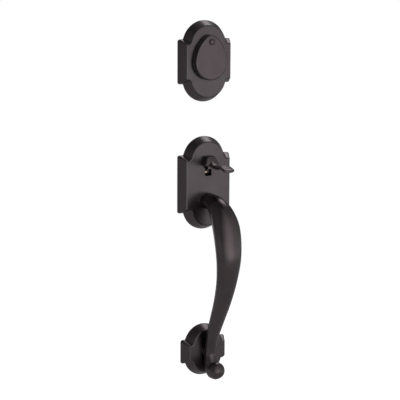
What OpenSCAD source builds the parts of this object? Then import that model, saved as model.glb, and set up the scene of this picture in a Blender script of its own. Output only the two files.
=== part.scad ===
// Entry door handleset: deadbolt trim with a swivel key cover, handle plate with
// thumbpiece, cast grip and lower rosette. Exterior side only.
// The door face is the plane Y = 0, the street side is -Y and the door is at +Y.
// The origin is the centre of the latch bore on the door face, and +Z is up.

/* [Door preparation] */
// Height of the deadbolt bore above the latch bore
deadbolt_z = 139.7; // [120:0.1:160]
// Height of the middle of the handle plate from the latch bore
plate_z = -16.6; // [-20:0.1:-12]
// Height of the grip root from the latch bore
root_z = -38.6; // [-42:0.1:-34]
// Height of the middle of the rosette from the latch bore
rosette_z = -238; // [-246:0.5:-232]

/* [Cast plates] */
// How far the plates stand out from the door
plate_t = 13.6; // [12.6:0.1:16]
// Wall thickness of the castings
wall = 3; // [2.4:0.1:3.4]
// Straight rim before the sloping wall starts
rim = 1.5; // [1:0.1:3]
// How far the flat front lies inside the back outline
front_inset = 7.1; // [5:0.1:7.5]
// Radius of the front edge
edge_r = 1.8; // [1:0.1:2.5]
// Corner radius of the side ears
ear_r = 3; // [2:0.1:4]
// Radius of the inner corner where an arc meets an ear
cove_r = 2; // [1:0.1:3]
// Half width of the deadbolt plate and the handle plate
plate_w = 38.1; // [36:0.1:42]
// Arc radius of the deadbolt plate
bolt_arc_r = 31.2; // [30:0.1:33]
// Arc centre of the deadbolt plate from its middle
bolt_arc_z = 20.4; // [18:0.1:24]
// Half height of the deadbolt plate's ears
bolt_ear = 28.2; // [26:0.1:30]
// Arc radius of the handle plate
main_arc_r = 30.3; // [29:0.1:32]
// Arc centre of the handle plate from its middle
main_arc_z = 30; // [28:0.1:34]
// Half height of the handle plate's ears
main_ear = 37.4; // [35:0.1:40]
// Half width of the rosette
ros_w = 32.8; // [32:0.1:36]
// Arc radius of the rosette
ros_arc_r = 27.1; // [26:0.1:29]
// Arc centre of the rosette from its middle
ros_arc_z = 7.4; // [6:0.1:9]
// Half height of the rosette's ears
ros_ear = 15.8; // [14:0.1:17]

/* [Key cover] */
// Radius of the cover's round part
cover_r = 23.2; // [20:0.1:24]
// Radius of the cover's top
cover_tip_r = 10.4; // [9:0.1:12]
// Height of the top's centre above the round part's
cover_tip_up = 23.6; // [22:0.1:25]
// Radius of the cover's bulging sides
cover_side_r = 42; // [38:0.5:60]
// Rivet height above the cylinder's axis
rivet_up = 25; // [24:0.1:27]
// Thickness of the cover
cover_t = 4.2; // [3:0.1:5]
// Height of the raised pad below the cover
pad_t = 3; // [2:0.1:4]
// How far the pad's outline lies inside the cover's
pad_inset = 1; // [0.5:0.1:2]
// Radius of the rivet's shoulder
rivet_r = 2.4; // [2:0.1:3]
// Radius of the rivet's head
rivet_head_r = 3.9; // [3.4:0.1:5]

/* [Lock cylinder] */
// Radius of the key plug
plug_r = 6.35; // [6:0.05:6.6]
// Radius of the cylinder's face
face_r = 12; // [11:0.1:12.5]
// Radius of the flange behind the plate
flange_r = 14; // [13.6:0.1:14.4]
// How far the cylinder reaches behind its last pin
barrel_tail = 2.8; // [2.6:0.1:6]
// Pin radius
pin_r = 1.3; // [1:0.05:1.4]
// Distance between the pins
pin_pitch = 3.5; // [3.4:0.05:3.6]
// Length of the torque blade behind the plug
blade_reach = 46; // [40:1:75]

/* [Grip] */
// How far the grip's centreline stands out at its widest
grip_out = 64.8; // [58:0.1:70]
// Half width of the grip at its thickest
grip_w = 18; // [16:0.1:20]
// Half thickness of the grip from front to back
grip_d = 14; // [12:0.1:15]

/* [Thumbpiece] */
// Height of the thumbpiece's pivot from the latch bore
pivot_z = -2; // [-3:0.1:-1]
// Radius of the pivot pin
pivot_r = 1.5; // [1.2:0.1:1.8]
// Half width of the slot in the plate
slot_w = 4.8; // [4.4:0.1:5.4]
// Half width of the thumbpiece's shank
shank_w = 3.7; // [3:0.1:4]
// Half width of the paddle
paddle_w = 8.2; // [7.5:0.1:10]

/* [Fixings] */
// Half spacing of the through bolts
bolt_spacing = 19.05; // [18:0.05:20]
// Radius of the bolt posts
post_r = 4; // [3.6:0.1:4.4]
// Radius of the tapped hole in the posts
post_bore_r = 2.1; // [1.8:0.1:2.5]
// How far the posts reach behind the door face
post_back = 22; // [18:0.5:26]
// Thickness of the steel mounting plates
sheet_t = 1.5; // [1.2:0.1:2]
// Half side of the square spindle
spindle_w = 3.6; // [3:0.1:4]
// How far the spindle reaches behind the door face
spindle_back = 55; // [45:1:70]

/* [Hidden] */
$fn = 48;
// Shared clearances
run_gap = 0.05;
seat_gap = 0.3;
over = 1;
// Heights from the door face to the layers inside the castings
inner_t = plate_t - wall;
pad_face = plate_t + pad_t;
cover_back = pad_face + seat_gap;
cover_front = cover_back + cover_t;
draft = atan((front_inset - edge_r) / (plate_t - edge_r - rim));
inner_inset = wall + (inner_t - rim) * tan(draft);
// Colours
bronze = [0.19, 0.17, 0.17];
steel = [0.62, 0.63, 0.65];
brass = [0.75, 0.58, 0.3];

// Points of an arc round a centre, without its last point
function arc(centre, r, a0, a1, steps) =
    [for (i = [0:steps - 1]) let (a = a0 + (a1 - a0) * i / steps) centre + r * [cos(a), sin(a)]];
function flip_x(points) = [for (i = [len(points) - 1:-1:0]) [-points[i].x, points[i].y]];
function flip_both(points) = [for (p = points) -p];

// Outline of a plate: two arcs above and below an eared block, drawn in by s
function quarter(w, r, c, h, s) =
    let (wi = w - s, ri = r - s, hi = h - s, f = cove_r + 0.45 * s, e = max(ear_r - 0.35 * s, 0.6),
        fx = sqrt(pow(ri + f, 2) - pow(hi + f - c, 2)), a = atan2(hi + f - c, fx))
    concat(arc([wi - e, hi - e], e, 0, 90, 4), [[wi - e, hi]],
        arc([fx, hi + f], f, 270, 180 + a, 5), arc([0, c], ri, a, 90, 13));
function plate_outline(w, r, c, h, s) =
    let (q = quarter(w, r, c, h, s), top = [0, c + r - s])
    concat(q, [top], flip_x(q), flip_both(q), [-top], flip_both(flip_x(q)));

// Outline of the key cover, an egg of a round part, a smaller top and bulging sides, drawn in by s
function egg(s) =
    let (up = cover_tip_up, rb = cover_side_r - cover_r, rt = cover_side_r - cover_tip_r,
        sy = (up * up - rt * rt + rb * rb) / (2 * up), sx = sqrt(rb * rb - sy * sy),
        low = atan2(-sy, sx), high = atan2(up - sy, sx),
        side = arc([-sx, sy], cover_side_r - s, low, high, 8))
    concat(side, arc([0, up], cover_tip_r - s, high, 180 - high, 12),
        [[sx + (cover_side_r - s) * cos(180 - high), sy + (cover_side_r - s) * sin(180 - high)]],
        arc([sx, sy], cover_side_r - s, 180 - high + (high - low) / 8, 180 - low, 7),
        arc([0, 0], cover_r - s, 180 - low, 360 + low, 36));

// Solid through sections that have equally many points and run counterclockwise, seen from
// the last one, closed by a fan at each end
function mean_point(ring) = [for (p = ring) 1] * ring / len(ring);
module loft(rings) {
    n = len(rings[0]);
    last = len(rings) - 1;
    start = n * (last + 1);
    polyhedron(points = concat([for (ring = rings) for (p = ring) p],
            [mean_point(rings[0]), mean_point(rings[last])]),
        faces = concat(
            [for (i = [0:n - 1]) [start, i, (i + 1) % n]],
            [for (k = [0:last - 1], i = [0:n - 1], half = [0, 1])
                let (a = k * n + i, b = k * n + (i + 1) % n) half == 0 ? [a, a + n, b + n] : [a, b + n, b]],
            [for (i = [0:n - 1]) [start + 1, last * n + (i + 1) % n, last * n + i]]), convexity = 6);
}
function lift(points, z) = [for (p = points) [p.x, p.y, z]];

// Turns a piece drawn in the plate's plane, with z as its height, to face the street
module on_door(up) translate([0, 0, up]) rotate([90, 0, 0]) children();

// Cylinder along Y from the depth back to the depth front, where -Y is the street
module rod(r, back, front, x = 0, z = 0)
    translate([x, back, z]) rotate([90, 0, 0]) cylinder(r = r, h = back - front);
module cone(r_back, r_front, back, front, x = 0, z = 0)
    translate([x, back, z]) rotate([90, 0, 0]) cylinder(r1 = r_back, r2 = r_front, h = back - front);
// Cylinder along X
module axle(r, x0, x1, y, z) translate([x0, y, z]) rotate([0, 90, 0]) cylinder(r = r, h = x1 - x0);
// Box between two corners
module block(a, b) translate(a) cube(b - a);

// Rounded edge of a plate: inset and height of each level
edge_levels = concat([[0, 0], [0, rim]],
    [for (a = [draft, 45, 62, 76, 90]) [front_inset - edge_r * cos(a), plate_t - edge_r + edge_r * sin(a)]]);

// Hollow casting shared by the three plates
module cast_plate(w, r, c, h) difference() {
    loft([for (e = edge_levels) lift(plate_outline(w, r, c, h, e[0]), e[1])]);
    loft([for (e = [[wall, -over], [wall, rim], [inner_inset, inner_t]])
        lift(plate_outline(w, r, c, h, e[0]), e[1])]);
}

// Steel sheet that closes a plate's back, held by four countersunk screws
back_inset = wall + 0.6;
screw_r = 1.6;
screw_head_r = 3;
screw_len = 6;
boss_r = 3.6;
screw_play = 0.2;
module backing(w, r, c, h, back) on_door(0) translate([0, 0, back])
    linear_extrude(sheet_t) polygon(plate_outline(w, r, c, h, back_inset + back * tan(draft)));
module at_screws(x, z) for (sx = [-1, 1], sz = [-1, 1]) translate([sx * x, 0, sz * z]) children();
module boss(back) difference() {
    rod(boss_r, -back, -inner_t - wall / 2);
    rod(screw_r + run_gap, -back + over, -back - screw_len);
}
module flat_screw(back) {
    rod(screw_r, -back + sheet_t / 2, -back - screw_len + sheet_t + over);
    cone(screw_head_r, screw_r, -back + sheet_t, -back);
}
module flat_screw_hole(back) {
    rod(screw_r + screw_play, -back + sheet_t + over, -back - over);
    cone(screw_head_r + screw_play + over, screw_r + screw_play, -back + sheet_t + over, -back - 0.01);
}

// Threaded post with a swaged shank through its sheet
post_tap = 18;
post_shank_r = post_r * 0.6;
swage_t = 0.8;
module post(x, z, back) {
    difference() {
        rod(post_r, post_back, -back + sheet_t, x, z);
        rod(post_bore_r, post_back + over, post_back - post_tap, x, z);
    }
    rod(post_shank_r, -back + sheet_t + 0.2, -back, x, z);
    rod(post_r * 0.8, -back, -back - swage_t, x, z);
}

// Deadbolt trim
bolt_back = 4.65;
bolt_screw_x = 20;
bolt_screw_z = 24;
module deadbolt_plate() color(bronze) difference() {
    union() {
        on_door(deadbolt_z) {
            cast_plate(plate_w, bolt_arc_r, bolt_arc_z, bolt_ear);
            loft([for (e = [[0, inner_t + wall / 2], [0, pad_face - 0.8], [0.25, pad_face - 0.3],
                [0.8, pad_face]]) lift(egg(pad_inset + e[0]), e[1])]);
        }
        translate([0, 0, deadbolt_z]) at_screws(bolt_screw_x, bolt_screw_z) boss(bolt_back + sheet_t);
    }
    rod(face_r + seat_gap, over, -pad_face - over, 0, deadbolt_z);
    rod(rivet_r + run_gap, over, -pad_face - over, 0, deadbolt_z + rivet_up);
}
module key_cover() color(bronze) difference() {
    on_door(deadbolt_z) loft([for (e = [[0.4, 0], [0, 0.4], [0, cover_t - 1.6], [0.12, cover_t - 1.1],
            [0.5, cover_t - 0.45], [1.1, cover_t - 0.1], [1.8, cover_t]])
        lift(egg(e[0]), cover_back + e[1])]);
    rod(rivet_r + run_gap, -cover_back + over, -cover_front - over, 0, deadbolt_z + rivet_up);
}
rivet_crown = 1.5;
rivet_rim = 0.5;
washer_t = 1.2;
module cover_rivet() color(bronze) {
    up = deadbolt_z + rivet_up;
    rod(rivet_r, -inner_t + washer_t + 0.8, -cover_front - seat_gap - 0.2, 0, up);
    translate([0, -cover_front - seat_gap, up]) rotate([90, 0, 0]) rotate_extrude()
        polygon(concat([[0, 0], [rivet_head_r, 0]],
            [for (a = [0:15:90]) [rivet_head_r * cos(a), rivet_rim + rivet_crown * sin(a)]]));
    cone(rivet_r, rivet_r * 1.5, -inner_t + 2 * washer_t, -inner_t + washer_t, 0, up);
}
module rivet_washer() color(steel) difference() {
    rod(rivet_r * 2, -inner_t + washer_t, -inner_t, 0, deadbolt_z + rivet_up);
    rod(rivet_r + run_gap, over, -plate_t, 0, deadbolt_z + rivet_up);
}

// Lock cylinder, drawn on its own axis
face_front = pad_face - 0.3;
flange_front = inner_t - seat_gap;
flange_back = bolt_back + sheet_t;
shear_gap = 0.06;
chamber_top = 17;
cap_t = 1.4;
barrel_wall = 3.2;
chamber_wall = 2.4;
cap_rim = [1, 2];
key_half = 0.55;
key_top = 3.4;
key_bottom = -4.8;
ward = [[-0.55, -2.4], [1.5, -1.3]];
blade_w = [0.9, 4.1];
blade_play = 0.1;
blade_seat = 1.5;
plug_face = face_front - 0.2;
head_r = plug_r + 1.2;
head_t = 1.6;
pin_row_start = -4.3;
pin_y = [for (i = [0:4]) pin_row_start + i * pin_pitch];
barrel_back = pin_y[4] + barrel_tail;
key_depth = [1, 2, 0.6, 2.4, 1.4];
pin_tip = 0.9;
pin_top = sqrt(plug_r * plug_r - pin_r * pin_r) - 0.02;
driver_z = plug_r + 0.1;
driver_len = 3.6;
clip_t = 0.9;
clip_r = plug_r - 1;
clip_rim = 1.6;
plug_tail = 3;
module at_cylinder() translate([0, 0, deadbolt_z]) children();
module chamber(y, z0, z1) translate([0, y, z0]) cylinder(r = pin_r + run_gap, h = z1 - z0);
module cylinder_housing() color(brass) at_cylinder() difference() {
    union() {
        rod(face_r, -flange_back, -face_front);
        rod(flange_r, -flange_back, -flange_front);
        rod(plug_r + barrel_wall, barrel_back, -flange_back - over);
        block([-pin_r - chamber_wall, -flange_back - over, 0],
            [pin_r + chamber_wall, barrel_back, chamber_top]);
    }
    rod(plug_r + shear_gap, barrel_back + over, -face_front - over);
    rod(head_r + 0.1, -plug_face + head_t + 0.1, -face_front - over);
    for (y = pin_y) chamber(y, 0, chamber_top + over);
    block([-pin_r - cap_rim[0], pin_y[0] - cap_rim[1], chamber_top - cap_t],
        [pin_r + cap_rim[0], pin_y[4] + cap_rim[1], chamber_top + over]);
}
module key_plug() color(brass) at_cylinder() difference() {
    union() {
        rod(plug_r, barrel_back + plug_tail, -plug_face + 0.2);
        rod(head_r, -plug_face + head_t, -plug_face);
    }
    block([-key_half, -plug_face - over, key_bottom], [key_half, barrel_back + 0.2, key_top]);
    block([ward[0][0], -plug_face - over, ward[0][1]], [ward[1][0], barrel_back + 0.2, ward[1][1]]);
    for (y = pin_y) chamber(y, -0.4, plug_r + over);
    translate([0, barrel_back + 0.2, 0]) rotate([-90, 0, 0]) difference() {
        cylinder(r = plug_r + over, h = clip_t + 0.1);
        translate([0, 0, -over]) cylinder(r = clip_r, h = clip_t + 3);
    }
    block([-blade_w[0] - blade_play, barrel_back - blade_seat, -blade_w[1] - blade_play],
        [blade_w[0] + blade_play, barrel_back + plug_tail + over, blade_w[1] + blade_play]);
}
module key_pins() color(brass) at_cylinder()
    for (i = [0:4]) translate([0, pin_y[i], key_depth[i]]) {
        cylinder(r = pin_r, h = pin_top - key_depth[i]);
        translate([0, 0, -pin_tip]) cylinder(r1 = pin_r * 0.35, r2 = pin_r, h = pin_tip);
    }
module driver_pins() color(steel) at_cylinder()
    for (y = pin_y) translate([0, y, driver_z]) cylinder(r = pin_r, h = driver_len);

// Coil spring along Z from 0 to its length, with closed ends
pin_wire = 0.22;
module coil(r, wire, length, turns, per_turn, sides) {
    count = turns * per_turn;
    path = [for (i = [0:count]) let (a = 360 * i / per_turn)
        [r * cos(a), r * sin(a), wire + (length - 2 * wire) * i / count]];
    loft([for (i = [0:count]) let (a = 360 * i / per_turn)
        [for (k = [0:sides - 1]) let (b = 360 * k / sides)
            path[i] + wire * [cos(a) * cos(b), sin(a) * cos(b), sin(b)]]]);
}
module pin_springs() color(steel) at_cylinder()
    for (y = pin_y) translate([0, y, driver_z + driver_len])
        coil(pin_r - 0.35, pin_wire, chamber_top - cap_t - driver_z - driver_len, 5, 8, 4);
module chamber_cap() color(brass) at_cylinder()
    block([run_gap - pin_r - cap_rim[0], pin_y[0] - cap_rim[1] + run_gap, chamber_top - cap_t],
        [pin_r + cap_rim[0] - run_gap, pin_y[4] + cap_rim[1] - run_gap, chamber_top]);
module plug_clip() color(steel) at_cylinder() translate([0, barrel_back + 0.25, 0]) rotate([-90, 0, 0])
    difference() {
        cylinder(r = plug_r + clip_rim, h = clip_t);
        translate([0, 0, -over]) cylinder(r = clip_r + run_gap, h = clip_t + 2 * over);
        translate([clip_rim - plug_r, 0, -over])
            cube([2 * (plug_r - clip_rim), plug_r + 2 * clip_rim, clip_t + 2 * over]);
    }
module torque_blade() color(steel) at_cylinder()
    block([-blade_w[0], barrel_back - blade_seat + blade_play, -blade_w[1]],
        [blade_w[0], barrel_back + blade_reach, blade_w[1]]);
module deadbolt_backplate() color(steel) difference() {
    translate([0, 0, deadbolt_z]) backing(plate_w, bolt_arc_r, bolt_arc_z, bolt_ear, bolt_back);
    at_cylinder() {
        rod(plug_r + barrel_wall + seat_gap, over, -plate_t);
        block([-pin_r - chamber_wall - seat_gap, -plate_t, 0],
            [pin_r + chamber_wall + seat_gap, over, chamber_top + seat_gap]);
        for (x = [-1, 1]) rod(post_shank_r + run_gap, over, -plate_t, x * bolt_spacing);
        at_screws(bolt_screw_x, bolt_screw_z) flat_screw_hole(bolt_back + sheet_t);
    }
}
module deadbolt_posts() color(steel) at_cylinder()
    for (x = [-1, 1]) post(x * bolt_spacing, 0, bolt_back + sheet_t);
module deadbolt_screws() color(steel) at_cylinder()
    at_screws(bolt_screw_x, bolt_screw_z) flat_screw(bolt_back + sheet_t);

// Handle plate and the thumbpiece that swings in its slot
slot_top = 14;
slot_bottom = -6;
back_gap = 0.4;
main_screw_x = 22;
main_screw_z = 30;
root_screw_r = 4;
pin_nub_r = 1.5;
pin_nub_x = 8;
pivot_y = -6;
module at_plate() translate([0, 0, plate_z]) children();
slot_corner_r = 1.5;
module slot_hole() on_door(0) linear_extrude(plate_t + over) {
    tall = slot_top - slot_bottom;
    translate([slot_corner_r - slot_w, slot_bottom]) square([2 * (slot_w - slot_corner_r), tall]);
    translate([-slot_w, slot_bottom + slot_corner_r]) square([2 * slot_w, tall - 2 * slot_corner_r]);
    for (x = [-1, 1], z = [slot_bottom + slot_corner_r, slot_top - slot_corner_r])
        translate([x * (slot_w - slot_corner_r), z]) circle(slot_corner_r);
}
module handle_plate() color(bronze) difference() {
    union() {
        on_door(plate_z) cast_plate(plate_w, main_arc_r, main_arc_z, main_ear);
        at_plate() at_screws(main_screw_x, main_screw_z) boss(back_gap + sheet_t);
    }
    slot_hole();
    rod(root_screw_r + bore_play, over, -plate_t - over, 0, root_z);
    for (x = [-1, 1]) rod(pin_nub_r + bore_play / 2, over, -plate_t - over, x * pin_nub_x, root_z);
}

// Bar swept through stations [y, z, half width, half thickness] in the plane X = 0
function spline(a, b, c, d, t) = 0.5 * ((2 * b) + (c - a) * t + (2 * a - 5 * b + 4 * c - d) * t * t
    + (3 * b - a - 3 * c + d) * t * t * t);
function slope(a, b, c, d, t) = 0.5 * ((c - a) + 2 * (2 * a - 5 * b + 4 * c - d) * t
    + 3 * (3 * b - a - 3 * c + d) * t * t);
function pick(list, i) = list[max(0, min(len(list) - 1, i))];
function signed_pow(v, e) = sign(v) * pow(abs(v), e);
function section(s, t, sides, e, shift, size) =
    let (long = norm([t[0], t[1]]), ty = t[0] / long, tz = t[1] / long)
    [for (k = [0:sides - 1]) let (a = -360 * k / sides,
        x = size * s[2] * signed_pow(cos(a), e), n = size * s[3] * signed_pow(sin(a), e))
        [x, s[0] + shift * ty - n * tz, s[1] + shift * tz + n * ty]];
module swept_bar(stations, steps, sides, e, cap_start, cap_end) {
    last = len(stations) - 1;
    knots = [for (i = [0:last - 1]) for (k = [0:steps - 1]) [i, k / steps]];
    all = concat(knots, [[last - 1, 1]]);
    at = [for (u = all) spline(pick(stations, u[0] - 1), stations[u[0]], stations[u[0] + 1],
        pick(stations, u[0] + 2), u[1])];
    run = [for (u = all) slope(pick(stations, u[0] - 1), stations[u[0]], stations[u[0] + 1],
        pick(stations, u[0] + 2), u[1])];
    n = len(at) - 1;
    start = cap_start == 0 ? [] : [for (a = [80, 60, 40, 20])
        section(at[0], run[0], sides, e, -cap_start * sin(a), cos(a))];
    finish = cap_end == 0 ? [] : [for (a = [20, 40, 60, 80])
        section(at[n], run[n], sides, e, cap_end * sin(a), cos(a))];
    loft(concat(start, [for (i = [0:n]) section(at[i], run[i], sides, e, 0, 1)], finish));
}

// Thumbpiece: hood over the slot, neck and paddle, from inside the hood out
thumb_stations = [[-20, 12.4, 4.4, 2.6], [-26, 8.6, 4.7, 3], [-33, 7, 4.6, 3.1], [-41.5, 8.6, 4.8, 3.1],
    [-48.5, 10.9, 6.3, 3], [-54.5, 11.5, paddle_w * 0.92, 2.8], [-60, 10, paddle_w, 2.5],
    [-64.2, 7.4, paddle_w * 0.88, 2.1]];
// Front view of the hood, drawn in by s, and how far its top leans back
hood_w = [10.3, 7];
hood_z = [7.6, 19.6];
hood_r = 2.4;
hood_front = 26;
hood_lean = 0.4;
function hood(s) = let (r = hood_r - 0.6 * s, top = hood_z[1] - s - r, bottom = hood_z[0] + s + r,
        narrow = hood_w[1] - s - r, wide = hood_w[0] - s - r)
    concat(arc([narrow, top], r, 10, 90, 4), arc([-narrow, top], r, 90, 170, 4),
        arc([-wide, bottom], r, 170, 270, 5), arc([wide, bottom], r, 270, 370, 5));
function lean(points, y, k) = [for (p = points) [p.x, p.y, y - k * hood_lean * (p.y - hood_z[0])]];
arm_x = [13, 16.5];
arm_mid = (arm_x[0] + arm_x[1]) / 2;
arm_end = 22.5;
arm_top = -8.2;
arm_h = 5.6;
arm_nose = 2;
boss_ring = 3.4;
thumb_boss = [1, 17];
shank_front = -19.5;
shank_z = [3.4, 10.5];
shank_back = pivot_y + 2.6;
seat_y = 8;
seat_r = 3;
seat_peg = [1.3, 2.5];
module thumbpiece() color(bronze) difference() {
    union() {
        swept_bar(thumb_stations, 3, 20, 0.9, 0, 2.6);
        on_door(0) loft([lean(hood(0), plate_t + 0.8, 0),
            for (e = [[0, 3], [0.3, 1.4], [1, 0.4], [2, 0]]) lean(hood(e[0]), hood_front - e[1], 1)]);
        block([-shank_w, shank_front, shank_z[0]], [shank_w, shank_back, shank_z[1]]);
        block([thumb_boss[0], pivot_y - boss_ring, pivot_z], [shank_w, shank_back, shank_z[0] + 0.6]);
        axle(boss_ring, thumb_boss[0], thumb_boss[1], pivot_y, pivot_z);
        translate([arm_x[0], 0, 0]) rotate([90, 0, 90]) linear_extrude(arm_x[1] - arm_x[0])
            polygon([[pivot_y - 1, pivot_z + 3.2], [pivot_y + 1.5, pivot_z + 3], [seat_y - 4, arm_top],
                [arm_end, arm_top], [arm_end, arm_top - 0.7 * arm_h], [arm_end - arm_nose, arm_top - arm_h],
                [seat_y - 6, arm_top - arm_h], [pivot_y - 2, pivot_z - 2.7]]);
        translate([arm_mid, seat_y, arm_top - 1]) cylinder(r = seat_r, h = 1);
        translate([arm_mid, seat_y, arm_top - 1]) cylinder(r = seat_peg[0], h = 1 + seat_peg[1]);
    }
    axle(pivot_r + run_gap, -slot_w, thumb_boss[1] + over, pivot_y, pivot_z);
    axle(boss_ring + 0.5, -shank_w - over, thumb_boss[0] - 0.2, pivot_y, pivot_z);
}
cheek_x = [-10.5, 17.3];
cheek_t = 2;
pin_end = 0.8;
module pivot_bush() color(brass) difference() {
    axle(boss_ring - 0.4, cheek_x[0] + cheek_t + 0.2, thumb_boss[0] - 0.2, pivot_y, pivot_z);
    axle(pivot_r + run_gap, cheek_x[0], thumb_boss[0], pivot_y, pivot_z);
}
module pivot_pin() color(steel)
    axle(pivot_r, cheek_x[0] - pin_end, cheek_x[1] + cheek_t + pin_end, pivot_y, pivot_z);

// Bracket with two cheeks that carry the pivot pin
main_back = back_gap + sheet_t;
bracket_z = [-15.4, -10.4];
bracket_mid = (bracket_z[0] + bracket_z[1]) / 2;
bracket_screw_x = [-16, 24];
bracket_end = 4;
module cheek(x) difference() {
    union() {
        axle(boss_ring, x, x + cheek_t, pivot_y, pivot_z);
        block([x, pivot_y - boss_ring, bracket_z[0]], [x + cheek_t, -main_back, pivot_z]);
    }
    axle(pivot_r + run_gap, x - over, x + cheek_t + over, pivot_y, pivot_z);
}
module pivot_bracket() color(steel) {
    for (x = cheek_x) cheek(x);
    difference() {
        block([bracket_screw_x[0] - bracket_end, -main_back - sheet_t, bracket_z[0]],
            [bracket_screw_x[1] + bracket_end, -main_back, bracket_z[1]]);
        for (x = bracket_screw_x) rod(screw_r + screw_play, over, -plate_t, x, bracket_mid);
    }
}
pan_head = [screw_r + 1.1, 1.6];
driver_slot = [0.4, 0.8];
module bracket_screws() color(steel) for (x = bracket_screw_x) {
    seat = -main_back - sheet_t;
    rod(screw_r, -0.1, seat - 1, x, bracket_mid);
    difference() {
        rod(pan_head[0], seat, seat - pan_head[1], x, bracket_mid);
        block([x - pan_head[0] - over, seat - pan_head[1] - over, bracket_mid - driver_slot[0]],
            [x + pan_head[0] + over, seat - pan_head[1] + driver_slot[1], bracket_mid + driver_slot[0]]);
    }
}

// Spring that lifts the paddle again, between the arm's seat and a tab of the mounting plate
tab_z = 9;
spring_r = 2.1;
spring_wire = 0.45;
module return_spring() color(steel) translate([arm_mid, seat_y, arm_top])
    coil(spring_r, spring_wire, tab_z - arm_top, 7, 10, 5);

// Spindle with its hub, bearing and clip
hub_r = 8;
hub_front = -2;
bearing_back = 11;
bearing_r = hub_r + 2.4;
bearing_screw = [9.4, 9.9];
bearing_screw_r = 1.25;
bearing_flange = [11.8, 1.6, 12.6];
crank_y = [17.5, 21.5];
crank_reach = 16.8;
crank_half = 2;
crank_rest = 19;
crank_neck_r = 6.4;
hub_flange = [bearing_back + 0.3, bearing_back + 2];
ring_y = [-1.55, -0.55];
ring_groove = hub_r - 1;
ring_rim = 1.2;
module spindle_bearing() color(brass) difference() {
    union() {
        rod(bearing_r, bearing_back, -back_gap);
        block([-bearing_flange[0], -back_gap, -bearing_flange[2]],
            [bearing_flange[0], -back_gap + bearing_flange[1], bearing_flange[2]]);
    }
    rod(hub_r + run_gap, bearing_back + over, -plate_t);
    for (s = [-1, 1])
        rod(bearing_screw_r + run_gap, 3, -plate_t, s * bearing_screw[0], s * bearing_screw[1]);
}
module bearing_screws() color(steel) for (s = [-1, 1]) {
    x = s * bearing_screw[0];
    z = s * bearing_screw[1];
    rod(bearing_screw_r, 1.9, -main_back, x, z);
    rod(bearing_screw_r + 0.85, 2.6, -back_gap + bearing_flange[1], x, z);
}
module spindle_hub() color(steel) difference() {
    union() {
        rod(hub_r, hub_flange[1], hub_front);
        rod(hub_r + 2, hub_flange[1], hub_flange[0]);
        rod(crank_neck_r, crank_y[1], hub_flange[0]);
        rotate([0, crank_rest, 0])
            block([0, crank_y[0], -crank_half], [crank_reach, crank_y[1], crank_half]);
    }
    block([-spindle_w - run_gap, hub_front - over, -spindle_w - run_gap],
        [spindle_w + run_gap, crank_y[1] + over, spindle_w + run_gap]);
    difference() {
        rod(hub_r + over, ring_y[1] + 0.05, ring_y[0] - 0.05);
        rod(ring_groove, ring_y[1] + over, ring_y[0] - over);
    }
}
module hub_clip() color(steel) difference() {
    rod(hub_r + ring_rim, ring_y[1], ring_y[0]);
    rod(ring_groove + run_gap, ring_y[1] + over, ring_y[0] - over);
    block([2 - hub_r, ring_y[0] - over, 0], [hub_r - 2, ring_y[1] + over, hub_r + 2 * ring_rim]);
}
module spindle() color(steel)
    block([-spindle_w, hub_front + 0.2, -spindle_w], [spindle_w, spindle_back, spindle_w]);

// Mounting plate that closes the handle plate's back
root_access_r = 10.5;
arm_window = [[arm_x[0] - 0.8, -13], [thumb_boss[1] + 0.4, 8]];
module handle_backplate() color(steel) {
    difference() {
        translate([0, 0, plate_z]) backing(plate_w, main_arc_r, main_arc_z, main_ear, back_gap);
        rod(hub_r + ring_rim + 0.5, over, -plate_t);
        block([arm_window[0][0], -plate_t, arm_window[0][1]], [arm_window[1][0], over, arm_window[1][1]]);
        rod(root_access_r, over, -plate_t, 0, root_z);
        for (s = [-1, 1]) {
            rod(post_shank_r + run_gap, over, -plate_t, 0, s * bolt_spacing);
            rod(bearing_screw_r + run_gap, over, -plate_t, s * bearing_screw[0], s * bearing_screw[1]);
        }
        at_plate() at_screws(main_screw_x, main_screw_z) flat_screw_hole(main_back);
        for (x = bracket_screw_x) rod(screw_r + run_gap, over, -plate_t, x, bracket_mid);
    }
    block([arm_window[0][0], -main_back, tab_z], [arm_window[1][0], seat_y + seat_r + 0.5, tab_z + sheet_t]);
}
module handle_posts() color(steel) for (s = [-1, 1]) post(0, s * bolt_spacing, main_back);
module handle_screws() color(steel) at_plate() at_screws(main_screw_x, main_screw_z) flat_screw(main_back);

// Grip: root on the plate, deep bow, foot on the rosette and curled tail
foot_y = -plate_t - 7.4;
grip_stations = [[-plate_t, root_z, 12.6, 10.4], [-plate_t - 6.5, root_z, 11.4, 10],
    [-30, root_z - 1.6, 12.2, 11.2], [-41.6, root_z - 7.6, 14.4, 13.4], [-50.9, root_z - 16.6, 16.6, 14.8],
    [-57.9, root_z - 28, grip_w, grip_d + 0.9], [-62.4, root_z - 43, grip_w, grip_d + 0.2],
    [-grip_out, root_z - 62, 17, 13.4], [-64, root_z - 78, 15.6, 12.6],
    [-59.5, root_z - 100, 13.6, 11.4], [-50, root_z - 126, 11.6, 10.2],
    [-38.5, root_z - 150, 10, 9], [-29, root_z - 170, 8.8, 7.9],
    [foot_y - 2.4, rosette_z + 14, 7.8, 7.2], [foot_y, rosette_z, 7.6, 7],
    [foot_y - 1.2, rosette_z - 8.4, 8.4, 7.8], [foot_y - 4.4, rosette_z - 16.8, 9.8, 9.7],
    [foot_y - 10.6, rosette_z - 22.2, 10.8, 10.8], [foot_y - 16.8, rosette_z - 20, 10.8, 10.8]];
root_bore = 20;
foot_bore = 9;
foot_r = 7.4;
pin_nub_len = 2.4;
bore_play = 0.3;
washer_r = 9;
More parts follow.
